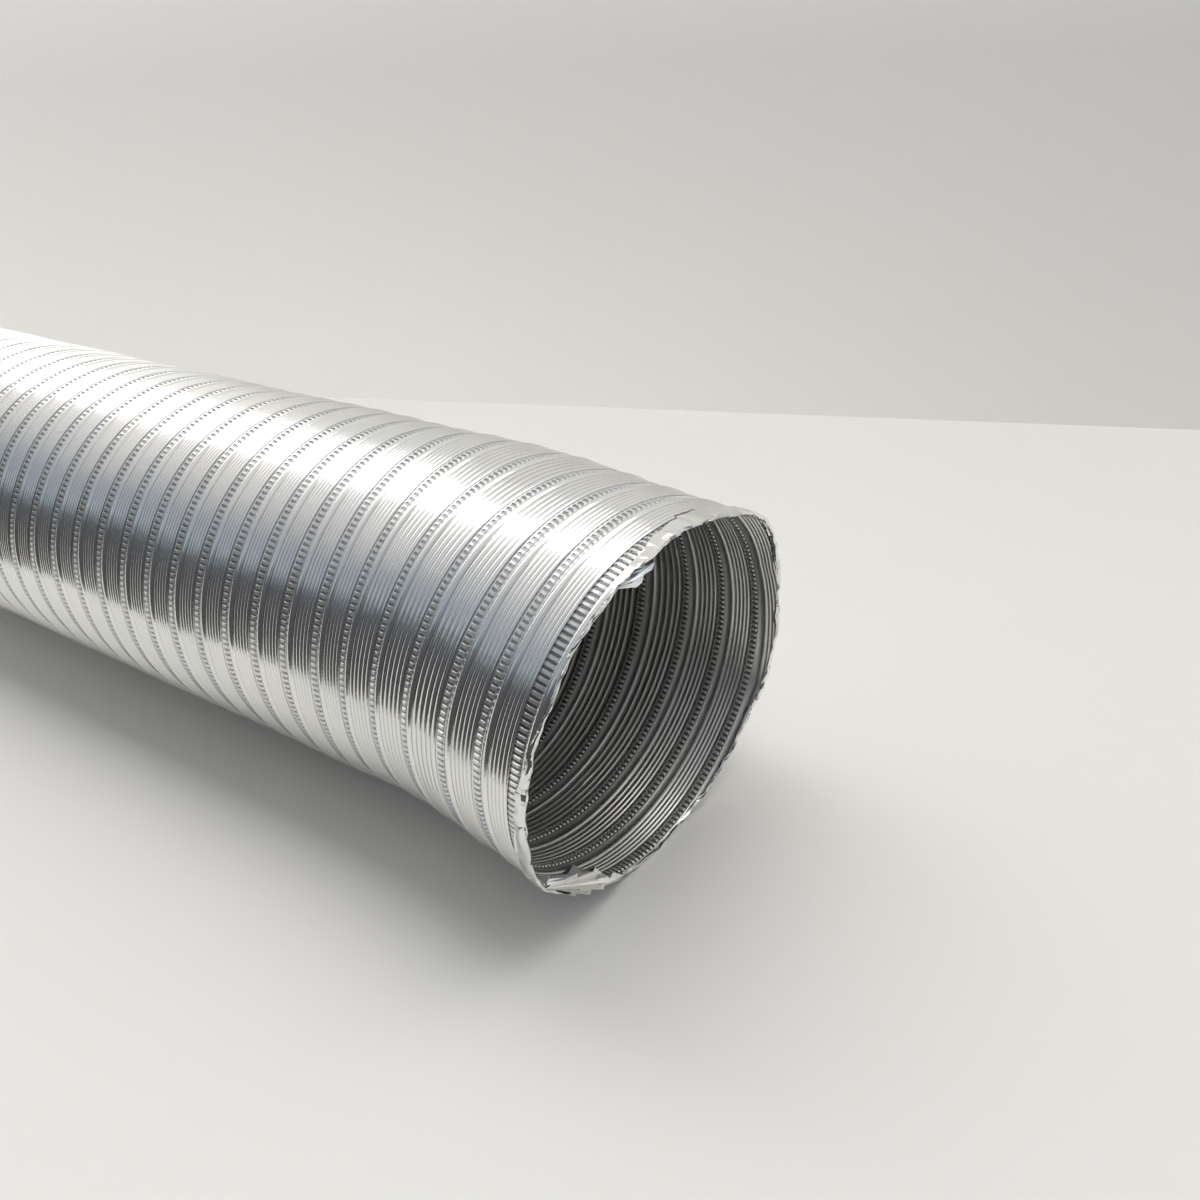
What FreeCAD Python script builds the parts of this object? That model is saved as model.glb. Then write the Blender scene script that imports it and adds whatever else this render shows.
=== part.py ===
"""Flexible air duct, 150 mm size: one strip of aluminium foil wound into a ribbed tube.

The duct lies on a flat surface, closed up almost as far as it goes.  Its far end is at the
origin, its straight length runs along +X, and its mouth end curves gently towards -Y.
Each turn of the strip is one rib: from the lock seam it rises to the bead beside it, falls
again, and runs level to the next seam, half way up the fine ribs that the strip has there.
The tube is modelled as groups of turns: a cuff at each end, and between them the groups that
open on one side when the duct is bent and those that open all round when it is pulled out.
All sizes are in millimetres.
"""

import FreeCAD, Part
import math
import os

doc = FreeCAD.newDocument("flexible_air_duct")
sheet = doc.addObject("Spreadsheet::Sheet", "Sizes")

DRIVING_SIZES = {
    "bore_radius": 75.5,         # slides over a 150 mm spigot
    "land_radius": 77.2,         # outside of the wall between two beads
    "bead_radius": 78.0,         # outside of the wall on top of a bead
    "bead_top": 3.6,             # from the seam to the top of the bead on its mouth side
    "bead_end": 5.7,             # from the seam to where the bead has fallen again
    "closed_pitch": 16.25,       # one turn, closed up
    "opened_extra": 6.0,         # how much further the most opened turn stands apart
    "opened_turn": 4.1,          # the most opened turn, counted from the mouth
    "opened_spread": 1.75,       # how many turns on each side of it are opened too
    "mouth_bend": 10.2,          # degrees that the mouth end turns towards -Y
    "resting_flat": 0.5,         # depth of the flat that the tube's own weight presses
    "cutter_margin": 1.0,        # how far a cutter runs past what it cuts
}

# Groups of turns from the mouth to the far end: name of the piece and its number of turns
TURN_GROUPS = [
    ("mouth_cuff", 3),
    ("bend_turns_1", 3),
    ("stretch_turns_1", 5),
    ("bend_turns_2", 3),
    ("stretch_turns_2", 5),
    ("bend_turns_3", 3),
    ("stretch_turns_3", 5),
    ("far_cuff", 3),
]
CURVED_GROUP = "bend_turns_1"

for row, (alias, value) in enumerate(DRIVING_SIZES.items(), start=1):
    sheet.set(f"A{row}", alias)
    sheet.set(f"B{row}", str(value))
    sheet.setAlias(f"B{row}", alias)
doc.recompute()


def turn_pitch(turn):
    """Length along the duct of one turn, counted from the mouth."""
    steps_away = (turn - sheet.opened_turn) / sheet.opened_spread
    return sheet.closed_pitch + sheet.opened_extra * math.exp(-steps_away * steps_away)


TURN_COUNT = sum(turns for name, turns in TURN_GROUPS)
SEAM_PLACES = [0.0]
for turn in range(1, TURN_COUNT + 1):
    SEAM_PLACES.append(SEAM_PLACES[-1] + turn_pitch(turn))
DUCT_LENGTH = SEAM_PLACES[-1]

first_turn_of = {}
next_turn = 0
for name, turns in TURN_GROUPS:
    first_turn_of[name] = next_turn
    next_turn += turns

curve_near_mouth = SEAM_PLACES[first_turn_of[CURVED_GROUP]]
curve_near_far_end = SEAM_PLACES[first_turn_of[CURVED_GROUP] + dict(TURN_GROUPS)[CURVED_GROUP]]
MOUTH_HEADING = math.radians(sheet.mouth_bend)
CURVE_RADIUS = (curve_near_far_end - curve_near_mouth) / MOUTH_HEADING


def middle_line(from_mouth):
    """Point on the tube's middle line and its heading, at a distance from the mouth.

    The line is straight along X from the far end, turns through one arc towards -Y, and
    is straight again in the mouth cuff.
    """
    along_arc = min(max(curve_near_far_end - from_mouth, 0.0), curve_near_far_end - curve_near_mouth)
    heading = along_arc / CURVE_RADIUS
    past_arc = max(curve_near_mouth - from_mouth, 0.0)
    x = min(DUCT_LENGTH - from_mouth, DUCT_LENGTH - curve_near_far_end)
    x += CURVE_RADIUS * math.sin(heading) + past_arc * math.cos(heading)
    y = -CURVE_RADIUS * (1.0 - math.cos(heading)) - past_arc * math.sin(heading)
    return FreeCAD.Vector(x, y, 0.0), heading


def placement_at(from_mouth):
    """Placement whose X axis follows the tube towards the mouth."""
    point, heading = middle_line(from_mouth)
    return FreeCAD.Placement(point, FreeCAD.Rotation(FreeCAD.Vector(0, 0, -1), math.degrees(heading)))


# A circle is drawn in its own XY plane.  This turns that plane square to the tube, with the
# circle's X axis always pointing straight up, so that the lofts between circles do not twist.
SQUARE_TO_TUBE = FreeCAD.Rotation(
    FreeCAD.Vector(0, 0, 1), FreeCAD.Vector(0, -1, 0), FreeCAD.Vector(1, 0, 0), "ZXY")


def circle_at(name, radius_alias, from_mouth, base):
    """One section of the tube, in the frame of the sub-part that it belongs to."""
    circle = doc.addObject("Part::Circle", name)
    circle.setExpression("Radius", f"{sheet.Name}.{radius_alias}")
    local = base.inverse().multiply(placement_at(from_mouth))
    circle.Placement = local.multiply(FreeCAD.Placement(FreeCAD.Vector(), SQUARE_TO_TUBE))
    return circle


def ruled_loft(name, circles):
    loft = doc.addObject("Part::Loft", name)
    loft.Sections = circles
    loft.Solid = True
    loft.Ruled = True
    return loft


def cut(name, base, tool):
    result = doc.addObject("Part::Cut", name)
    result.Base = base
    result.Tool = tool
    return result


def ribbed_skin(name, first_turn, last_turn, base):
    """Outside of the turns: each rib runs through four circles and shares the first and
    the last, at a seam, with its neighbours."""
    circles = []
    for turn in range(last_turn, first_turn, -1):
        seam = SEAM_PLACES[turn]
        circles.append(circle_at(f"{name}_seam_{turn}", "land_radius", seam, base))
        circles.append(circle_at(f"{name}_bead_{turn}", "bead_radius", seam - sheet.bead_top, base))
        circles.append(circle_at(f"{name}_land_{turn}", "land_radius", seam - sheet.bead_end, base))
    end = SEAM_PLACES[first_turn]
    circles.append(circle_at(f"{name}_seam_{first_turn}", "land_radius", end, base))
    return ruled_loft(f"{name}_outside", circles)


def straight_bore(name, length):
    """Cylinder that opens a straight group of turns from end to end."""
    bore = doc.addObject("Part::Cylinder", f"{name}_bore")
    bore.setExpression("Radius", f"{sheet.Name}.bore_radius")
    bore.Height = length + 2 * sheet.cutter_margin
    bore.Placement = FreeCAD.Placement(FreeCAD.Vector(-sheet.cutter_margin, 0, 0), SQUARE_TO_TUBE)
    return bore


def curved_bore(name, first_turn, last_turn, base):
    """Bore that follows the arc: one circle at each seam, and one past each end."""
    places = [SEAM_PLACES[last_turn] + sheet.cutter_margin]
    places += [SEAM_PLACES[turn] for turn in range(last_turn, first_turn - 1, -1)]
    places.append(SEAM_PLACES[first_turn] - sheet.cutter_margin)
    circles = [
        circle_at(f"{name}_bore_{number}", "bore_radius", place, base)
        for number, place in enumerate(places)
    ]
    return ruled_loft(f"{name}_bore", circles)


def resting_surface(name, length):
    """Block under the tube that presses the flat on which it lies."""
    width = 2 * sheet.bead_radius
    block = doc.addObject("Part::Box", f"{name}_surface")
    block.Length = length + 2 * sheet.bead_radius
    block.Width = width
    block.setExpression("Height", f"{sheet.Name}.resting_flat + {sheet.Name}.cutter_margin")
    bottom = -sheet.bead_radius - sheet.cutter_margin
    block.Placement.Base = FreeCAD.Vector(-sheet.bead_radius, -width / 2, bottom)
    return block


def turn_group(name, turns):
    """One group of turns as a closed thin-walled solid, placed by its far end."""
    first_turn = first_turn_of[name]
    last_turn = first_turn + turns
    length = SEAM_PLACES[last_turn] - SEAM_PLACES[first_turn]
    base = placement_at(SEAM_PLACES[last_turn])
    skin = ribbed_skin(name, first_turn, last_turn, base)
    if name == CURVED_GROUP:
        bore = curved_bore(name, first_turn, last_turn, base)
    else:
        bore = straight_bore(name, length)
    tube = cut(f"{name}_tube", skin, bore)
    piece = cut(name, tube, resting_surface(name, length))
    piece.Label = name
    piece.Placement = base
    return piece


pieces = [turn_group(name, turns) for name, turns in TURN_GROUPS]
doc.recompute()

for item in doc.Objects:
    if "Invalid" in item.State or "Error" in item.State:
        raise RuntimeError(f"{item.Label} did not build: {item.State}")
for piece in pieces:
    if piece.Shape.isNull() or not piece.Shape.isValid():
        raise RuntimeError(f"{piece.Label} has no valid shape")

os.makedirs("parts", exist_ok=True)
for piece in pieces:
    piece.Shape.exportStep(f"parts/{piece.Label}.step")
    solids = len(piece.Shape.Solids)
    faces = len(piece.Shape.Faces)
    print(f"{piece.Label:16s} solids {solids}  faces {faces:2d}  volume {piece.Shape.Volume / 1000:6.2f} cm3")
mouth_point, mouth_heading = middle_line(0.0)
print(f"length along the middle line {DUCT_LENGTH:.2f} mm, {TURN_COUNT} turns")
print(f"mouth centre x {mouth_point.x:.3f}, y {mouth_point.y:.3f}, heading {math.degrees(mouth_heading):.2f} degrees")
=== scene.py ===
# %% [markdown]
# # A flexible air duct of bare aluminium foil
#
# The real duct is one long strip of foil.  A machine presses ribs into the strip, winds it
# into a tube like the thread of a screw, and folds each edge into the edge of the turn
# before it.  That folded edge is the lock seam, and a toothed wheel knurls it so that it
# can't slip open.
#
# This lesson makes the foil as a surface worked out with numpy: a wall radius that depends
# on the place across the strip, carried round a middle line.  The part's own solids fix the
# size, the places where the duct moves, and the surface on which it lies.

# %% Load the part as a fixed frame
import math

import bpy
import numpy as np
from mathutils import Matrix, Vector


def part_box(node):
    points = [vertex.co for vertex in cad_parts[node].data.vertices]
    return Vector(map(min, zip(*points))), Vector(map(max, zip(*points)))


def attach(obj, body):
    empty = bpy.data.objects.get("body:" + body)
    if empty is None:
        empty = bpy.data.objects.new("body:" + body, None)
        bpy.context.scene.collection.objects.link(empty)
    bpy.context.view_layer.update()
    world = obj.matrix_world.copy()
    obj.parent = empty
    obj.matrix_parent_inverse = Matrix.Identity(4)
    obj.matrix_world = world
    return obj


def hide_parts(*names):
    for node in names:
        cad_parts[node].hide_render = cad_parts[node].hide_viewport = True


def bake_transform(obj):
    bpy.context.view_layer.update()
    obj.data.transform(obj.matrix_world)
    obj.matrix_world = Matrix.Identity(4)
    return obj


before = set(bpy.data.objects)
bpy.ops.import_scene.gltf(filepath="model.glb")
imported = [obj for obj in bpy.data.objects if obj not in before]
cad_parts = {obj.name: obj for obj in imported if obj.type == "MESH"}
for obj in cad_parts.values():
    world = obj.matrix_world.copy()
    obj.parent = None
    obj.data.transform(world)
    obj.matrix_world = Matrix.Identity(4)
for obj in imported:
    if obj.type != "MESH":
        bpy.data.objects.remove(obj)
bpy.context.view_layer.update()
print("nodes", sorted(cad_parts))

# %% [markdown]
# ## Sizes of the tube
#
# Blender works in metres here, so a millimetre is a named value and every size below is
# written in millimetres times that name.  The outer radius and the resting plane are read
# from the part, so they can't drift away from it.

# %% Tube
MM = 0.001
far_low, far_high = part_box("far_cuff")
BEAD_RADIUS = far_high.y
RESTING_PLANE = far_low.z

TURN_COUNT = 30
CLOSED_PITCH = 16.25 * MM     # one turn, closed up
OPENED_EXTRA = 6.0 * MM       # how much further the most opened turn stands apart
OPENED_TURN = 4.1             # the most opened turn, counted from the mouth
OPENED_SPREAD = 1.75          # how many turns on each side of it are opened too
CURVED_TURNS = (3, 6)         # the two seams between which the tube curves
MOUTH_BEND = math.radians(10.2)
print(f"outer radius {BEAD_RADIUS / MM:.2f} mm, resting plane {RESTING_PLANE / MM:.2f} mm")

# %% [markdown]
# ## Where each turn lies
#
# The duct is closed up, but in the photo the turns just behind the mouth cuff stand a
# little further apart, where it curves.  So a turn's length is a constant plus a smooth
# hump, and the place of a seam is the sum of the turns before it.  Two more turns are
# counted beyond each end, because the cuts don't follow the seams.

# %% Turn number to place
EXTRA_TURNS = 2


def opening(turn):
    """Extra length of a turn: a bell curve round the most opened turn."""
    return OPENED_EXTRA * np.exp(-(((turn - OPENED_TURN) / OPENED_SPREAD) ** 2))


seam_numbers = np.arange(-EXTRA_TURNS, TURN_COUNT + EXTRA_TURNS + 1)
turn_lengths = CLOSED_PITCH + opening(seam_numbers[1:])
seam_places = np.concatenate([[0.0], np.cumsum(turn_lengths)])
seam_places -= seam_places[EXTRA_TURNS]


def seam_place(turn):
    """Distance from the mouth, along the middle line, at which a seam number lies on top."""
    return np.interp(turn, seam_numbers, seam_places)


DUCT_LENGTH = float(seam_place(TURN_COUNT))
print(f"length {DUCT_LENGTH / MM:.1f} mm in {TURN_COUNT} turns")

# %% [markdown]
# ## The middle line
#
# The tube runs straight along X from its far end, turns through one arc towards -Y, and is
# straight again in the mouth cuff.  These are the same three stretches as in the part.

# %% Centre and heading at a distance from the mouth
CURVE_START = float(seam_place(CURVED_TURNS[0]))
CURVE_END = float(seam_place(CURVED_TURNS[1]))
CURVE_RADIUS = (CURVE_END - CURVE_START) / MOUTH_BEND


def middle_line(place):
    """Centre (x, y) and heading: a straight run, an arc, then the mouth's straight run."""
    heading = np.clip(CURVE_END - place, 0.0, CURVE_END - CURVE_START) / CURVE_RADIUS
    past_arc = np.maximum(CURVE_START - place, 0.0)
    x = DUCT_LENGTH - np.maximum(place, CURVE_END)
    x = x + CURVE_RADIUS * np.sin(heading) + past_arc * np.cos(heading)
    y = -CURVE_RADIUS * (1.0 - np.cos(heading)) - past_arc * np.sin(heading)
    return x, y, heading


mouth_x, mouth_y, mouth_heading = (float(v) for v in middle_line(np.array(0.0)))
print(f"mouth centre x {mouth_x / MM:.1f} mm, y {mouth_y / MM:.1f} mm")

# %% [markdown]
# ## The pressed strip
#
# A strip place counts seams, so its whole part is a turn and the rest is a share of the
# strip's width.  From a seam towards the mouth come half of the knurled band, one round
# bead, five fine ribs, and half of the next band.
#
# Pressed foil has neither sharp corners nor plain sine waves.  A sine wave raised to a power
# below one is fuller on top and steeper at its feet, as foil pushed into a groove is.
#
# When a turn opens, the fine ribs unfold and the folded band keeps its width.  That is what
# the last function says.  Going once round moves one turn towards the mouth, so the angle
# is taken off the strip place.

# %% Wall radius across the strip, and its place along the tube
BAND_SHARE = 0.135            # half the knurled seam band, as a share of a closed turn
BEAD_END_SHARE = 0.35         # where the round bead beside the band ends
RIBS_PER_TURN = 5
BAND_RADIUS = BEAD_RADIUS - 1.15 * MM
RIB_FOOT_RADIUS = BEAD_RADIUS - 1.05 * MM
RIB_HEIGHT = 0.65 * MM
BEAD_POWER = 0.8
RIB_FOOT_POWER = 0.3
RIB_POWER = 0.5


def across_ribs(share):
    """How far a share of the turn lies across the fine ribs: 0 at the bead, 1 at the band."""
    return np.clip((share - BEAD_END_SHARE) / (1.0 - BAND_SHARE - BEAD_END_SHARE), 0.0, 1.0)


def wall_radius(strip, bead_height=1.0):
    """Flat band, a bead of half a sine wave, then scalloped fine ribs, as a radius."""
    share = np.ceil(strip) - strip
    bead_share = (share - BAND_SHARE) / (BEAD_END_SHARE - BAND_SHARE)
    bead_share = np.clip(bead_share, 0.0, 1.0)
    bead = (BEAD_RADIUS - BAND_RADIUS) * bead_height * np.sin(np.pi * bead_share) ** BEAD_POWER
    rib_share = across_ribs(share)
    foot = (RIB_FOOT_RADIUS - BAND_RADIUS) * np.sin(np.pi * rib_share) ** RIB_FOOT_POWER
    scallop = RIB_HEIGHT * np.abs(np.sin(np.pi * RIBS_PER_TURN * rib_share)) ** RIB_POWER
    return BAND_RADIUS + bead + foot + scallop


def strip_to_place(strip, angle):
    """Place of the seams round the tube, with the opening moved from the band to the ribs."""
    turn = strip - angle / (2 * np.pi)
    share = np.ceil(strip) - strip
    return seam_place(turn) + opening(turn + 0.5) * (share - across_ribs(share))


sample_radii = wall_radius(-np.array([0.0, (BAND_SHARE + BEAD_END_SHARE) / 2, 0.4]))
print("radius of band, bead and first rib", np.round(sample_radii / MM, 2), "mm")

# %% [markdown]
# ## Foil is never quite even
#
# A few slow waves push the wall in and out by a fraction of a millimetre.  The mouth was
# squeezed when it was cut, so its rim has corners and flat sides, which fade out further in.
# The waves come from a random source with a fixed seed, so they are the same each time.

# %% Slow waves and a squeezed rim
WAVE_COUNT = 9
wave_source = np.random.default_rng(16)
WAVES = [
    (
        wave_source.uniform(20, 90),
        int(wave_source.integers(1, 7)),
        wave_source.uniform(0, 2 * math.pi),
        wave_source.uniform(0.03, 0.10) * MM,
    )
    for _ in range(WAVE_COUNT)
]
# Angle in degrees round the mouth, and how far the rim is pushed out there in millimetres
RIM_PUSH = [
    (-160, -1.0), (-142, -2.2), (-118, 1.0), (-100, 0.2), (-78, -0.8), (-50, 0.0), (-25, 0.3),
    (0, -0.5), (22, -1.0), (45, 2.0), (70, -2.2), (92, -0.4), (115, 2.4), (135, 0.2), (160, 0.6),
]
RIM_PUSH_REACH = 11 * MM


def between_pairs(pairs, degrees):
    """Value at an angle in degrees, on straight lines between listed pairs, all the way round."""
    return np.interp(degrees, [a for a, _ in pairs], [v for _, v in pairs], period=360)


def unevenness(place, angle):
    """Sum of slow sine waves along and round the tube."""
    total = np.zeros_like(place)
    for along, around, phase, size in WAVES:
        total = total + size * np.sin(along * place + around * angle + phase)
    return total


def mouth_lean(angle):
    """The leaning plane of the mouth's cut, as a distance from the part's mouth plane."""
    return (np.sin(angle) - 5.1 * np.cos(angle)) * MM


def rim_push(place, angle):
    """Push-out round the rim, between the listed angles, times a bell curve along the tube."""
    from_rim = np.maximum(place - mouth_lean(angle), 0.0)
    push = between_pairs(RIM_PUSH, np.degrees(angle))
    return push * MM * np.exp(-((from_rim / RIM_PUSH_REACH) ** 2))


print("waves of", [round(size / MM, 2) for _, _, _, size in WAVES], "mm")

# %% [markdown]
# ## The whole skin as one function
#
# The angle is zero on top and grows towards +Y.  Below the resting plane the wall is
# flattened, as the part's is.
#
# The inner wall is the same function with a smaller radius.  There the folded layers of the
# seam fill most of the bead, so it stands out less than on the outside.

# %% Skin point and its normal from strip place and angle
FOIL_THICKNESS = 0.3 * MM
INNER_BEAD = 0.3              # how much of the bead's height shows on the inside
SKIN_INSET = 0.1 * MM         # room for the slow waves inside the part's own radius
NORMAL_STEP = 0.002           # half the step over which a normal is measured, in turns


def tube_point(place, angle, radius):
    """Middle line plus a radius in the direction of the angle, kept above the rest."""
    x, y, heading = middle_line(place)
    side = radius * np.sin(angle)
    point = [x + side * np.sin(heading), y + side * np.cos(heading), radius * np.cos(angle)]
    point[2] = np.maximum(point[2], RESTING_PLANE)
    return np.stack(point, -1)


def skin_point(strip, angle, inside=False):
    """The strip's radius with its unevenness and the rim's push, carried round the tube."""
    place = strip_to_place(strip, angle)
    radius = wall_radius(strip, INNER_BEAD if inside else 1.0) - FOIL_THICKNESS * inside
    radius = radius + unevenness(place, angle) + rim_push(place, angle) - SKIN_INSET
    return tube_point(place, angle, radius)


def skin_normal(strip, angle, inside=False):
    """Cross product of two small steps on the skin, across the strip and round the tube."""
    turned = NORMAL_STEP * 2 * np.pi
    behind = skin_point(strip - NORMAL_STEP, angle, inside)
    across = skin_point(strip + NORMAL_STEP, angle, inside) - behind
    ahead = skin_point(strip + NORMAL_STEP, angle + turned, inside)
    around = ahead - skin_point(strip - NORMAL_STEP, angle - turned, inside)
    normal = np.cross(around, across)
    normal /= np.maximum(np.linalg.norm(normal, axis=-1, keepdims=True), 1e-12)
    return -normal if inside else normal


top_of_seam = skin_point(np.array([10.0]), np.array([0.0]))[0]
print("tenth seam on top", np.round(top_of_seam / MM, 1), "mm")

# %% [markdown]
# ## The two cut ends
#
# The ends were cut by hand.  The mouth's cut leans: on top it stands further out than
# below.  Fine jags follow the shears.  Where two groups of turns meet, the cut is square to
# the tube instead, so that the groups can be moved apart smoothly.


# %% Where the cuts run
def jags(angle):
    """Sum of four sine waves round the tube, as the shears leave them."""
    waves = 0.35 * np.sin(9 * angle + 1.0) + 0.30 * np.sin(17 * angle + 2.0)
    return (waves + 0.22 * np.sin(41 * angle) + 0.15 * np.sin(73 * angle + 0.5)) * MM


def mouth_cut(angle):
    """Leaning plane plus jags."""
    return mouth_lean(angle) + jags(angle)


def far_cut(angle):
    """Square cut half a millimetre past the last seam, plus jags."""
    return DUCT_LENGTH + 0.5 * MM + jags(angle + 2.0)


def square_cut(turn):
    """The cut square to the middle line at a turn, where one group of turns ends."""
    return lambda angle: np.full_like(angle, float(seam_place(turn)))


on_top, below = mouth_lean(0.0) / MM, mouth_lean(math.pi) / MM
print(f"mouth's cut at {on_top:.1f} mm on top and {below:.1f} mm below")

# %% [markdown]
# ## A grid between two cuts
#
# The rows of the grid follow the screw, so every rib is a row and stays crisp.  The cuts
# don't follow the screw.  So in each column the rows beyond a cut are pulled back onto it,
# and the points that then coincide are made one.  Two neighbouring pieces share exactly the
# same points along their common cut.
#
# The last column is the first one again, one turn further along the strip.  Seven rows for
# each fine rib are enough, because every corner of the mesh is given the true normal.

# %% Rows, columns and the grid
COLUMNS = 160
SHARE_KNOTS = [0.0, BAND_SHARE, BEAD_END_SHARE, 1.0 - BAND_SHARE, 1.0]
SHARE_STEPS = [4, 8, 7 * RIBS_PER_TURN, 4]
ROW_SHARES = np.concatenate([
    np.linspace(start, end, steps, endpoint=False)
    for start, end, steps in zip(SHARE_KNOTS[:-1], SHARE_KNOTS[1:], SHARE_STEPS)
])
ROWS_PER_TURN = len(ROW_SHARES)
column_angles = np.linspace(-np.pi, np.pi, COLUMNS + 1)


def strip_at_cut(strips, angle_grid, cut):
    """In each column, the strip place at which the cut lies, by interpolation."""
    places = strip_to_place(strips[:, None], angle_grid)
    wanted = cut(column_angles)
    found = [np.interp(wanted[j], places[:, j], strips) for j in range(COLUMNS + 1)]
    return np.array(found)


def foil_grid(first_turn, last_turn, near_cut, far_cut_here):
    """Strip places and angles of a grid between two cuts, and each point's vertex number."""
    turns = np.arange(first_turn - 1, last_turn + 2)
    strips = (turns[:, None] + 1.0 - ROW_SHARES[::-1][None, :]).ravel()
    angle_grid = np.broadcast_to(column_angles, (len(strips), COLUMNS + 1))
    near = strip_at_cut(strips, angle_grid, near_cut)
    far = strip_at_cut(strips, angle_grid, far_cut_here)
    strip_grid = np.clip(strips[:, None], near[None, :], far[None, :])
    rows = np.arange(len(strips))
    first_row = (strips[:, None] <= near[None, :]).sum(axis=0) - 1
    last_row = len(strips) - (strips[:, None] >= far[None, :]).sum(axis=0)
    owner_row = np.clip(rows[:, None], first_row[None, :], last_row[None, :])
    owner_column = np.broadcast_to(np.arange(COLUMNS + 1), owner_row.shape).copy()
    owner_row[:, -1] -= ROWS_PER_TURN
    owner_column[:, -1] = 0
    return strip_grid, angle_grid, owner_row * (COLUMNS + 1) + owner_column


print(f"{ROWS_PER_TURN} rows a turn, {COLUMNS} columns")

# %% [markdown]
# ## The knurled marks
#
# The toothed wheel squeezes the folded seam and leaves a row of small raised pads on it.
# They throw the light about, so they are real shapes here and not only bump.  Each pad is a
# low box with sloping sides, six faces in all, because there are thousands of them.  The
# last seam has come open at the mouth, so its pads are wider.
#
# A share jumps from one to zero on a seam, so a pad's normal is taken just beside it.

# %% Pads on the seams
TEETH_PER_TURN = 196          # marks that the toothed wheel leaves in one turn of the seam
PAD_SHARE = 0.09              # half a pad's width across the seam, as a share of a turn
OPENED_PAD_SHARE = 0.125      # the same in the last seam
PAD_LENGTH_SHARE = 0.64       # how much of the spacing a pad takes
PAD_TOP_SHARE = 0.62          # how wide its top is against its foot
PAD_HEIGHT = 0.4 * MM
PAD_ROOT = 0.12 * MM          # how deep its foot is sunk into the wall
PAD_TO_MOUTH = 1.6 * MM       # least distance from a pad to the mouth's cut
BESIDE_SEAM = 0.01            # in turns
# Corners 0 to 3 are the foot and 4 to 7 the top
PAD_FACES = np.array([
    (0, 3, 2, 1), (4, 5, 6, 7), (0, 1, 5, 4), (1, 2, 6, 5), (2, 3, 7, 6), (3, 0, 4, 7),
])


def knurl_pads(first_turn, last_turn, near_cut, far_cut_here, inside):
    """Corners of the pads between two cuts, foot then top, and each pad's map point."""
    numbers = np.arange(TEETH_PER_TURN)
    pad_angles = (numbers + 0.5) * 2 * np.pi / TEETH_PER_TURN - np.pi
    seams = np.repeat(np.arange(first_turn - 1, last_turn + 2), TEETH_PER_TURN).astype(float)
    angles = np.tile(pad_angles, len(seams) // TEETH_PER_TURN)
    places = strip_to_place(seams, angles)
    margin = PAD_TO_MOUTH if first_turn == 0 else 0.0
    kept = (places > near_cut(angles) + margin) & (places <= far_cut_here(angles))
    seams, angles = seams[kept], angles[kept]
    half_width = np.where(seams == 0, OPENED_PAD_SHARE, PAD_SHARE)
    half_length = PAD_LENGTH_SHARE * np.pi / TEETH_PER_TURN
    up = skin_normal(seams + BESIDE_SEAM, angles, inside)
    corners = []
    for size, height in ((1.0, -PAD_ROOT), (PAD_TOP_SHARE, PAD_HEIGHT)):
        for across, along in ((-1, -1), (-1, 1), (1, 1), (1, -1)):
            strip = seams + across * size * half_width
            angle = angles + along * size * half_length
            corners.append(skin_point(strip, angle, inside) + up * height)
    return np.stack(corners, axis=1), np.stack([angles / (2 * np.pi), seams], axis=-1)


print("a pad every", round(2 * math.pi * BAND_RADIUS / TEETH_PER_TURN / MM, 2), "mm")

# %% [markdown]
# ## One closed mesh
#
# The foil's outer wall and inner wall are two grids with the same rows.  A narrow strip of
# faces joins them at both cuts, so that each piece is a closed sheet of foil with a
# thickness.  The pads go into the same mesh.
#
# Two things are kept for the material.  The strip map gives every corner its place round
# the tube and its place along the strip, and the attribute named inside is 1 on the faces
# of the inner wall, which is rougher and painted darker as painted shade.


# %% Gather faces, then make the mesh
class FoilFaces:
    """Faces of one mesh, with a normal and a map point for each corner, and a side."""

    def __init__(self):
        self.faces = []
        self.normals = []
        self.maps = []
        self.sides = []

    def add(self, faces, normals, maps, inside):
        """Take in some more faces, all on the inside or all on the outside."""
        self.faces += faces.tolist()
        self.normals.append(normals.reshape(-1, 3))
        self.maps.append(maps.reshape(-1, 2))
        self.sides.append(np.full(len(faces), float(inside)))

    def mesh(self, name, points):
        """All the faces as one mesh, with their normals, their strip map and their sides."""
        made = bpy.data.meshes.new(name)
        made.from_pydata(points.tolist(), [], self.faces)
        layer = made.uv_layers.new(name="strip")
        layer.data.foreach_set("uv", np.concatenate(self.maps).astype(np.float32).ravel())
        side = made.attributes.new("inside", "FLOAT", "FACE")
        side.data.foreach_set("value", np.concatenate(self.sides).astype(np.float32))
        made.polygons.foreach_set("use_smooth", np.ones(len(self.faces), bool))
        made.normals_split_custom_set(np.concatenate(self.normals).tolist())
        made.update()
        return made


def link_object(name, shown):
    """A new object at the origin, that shows a mesh, a lamp or a camera."""
    shape = bpy.data.objects.new(name, shown)
    bpy.context.collection.objects.link(shape)
    return shape


print("a foil piece keeps", list(vars(FoilFaces())))

# %% [markdown]
# ## Faces of the walls and of the pads
#
# The grids have more points than the mesh has vertices, because the points beyond a cut
# share the vertex on it.  So a face is first listed by its grid points, which give its
# normals and its place on the strip, and only then by its vertices.


# %% Faces by their corners
def flat_normals(points, faces):
    """For each corner of four-cornered faces, the cross product of the face's diagonals."""
    across = points[faces[:, 2]] - points[faces[:, 0]]
    along = points[faces[:, 3]] - points[faces[:, 1]]
    normal = np.cross(across, along)
    normal = normal / np.maximum(np.linalg.norm(normal, axis=1, keepdims=True), 1e-15)
    return np.repeat(normal, 4, axis=0)


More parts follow.
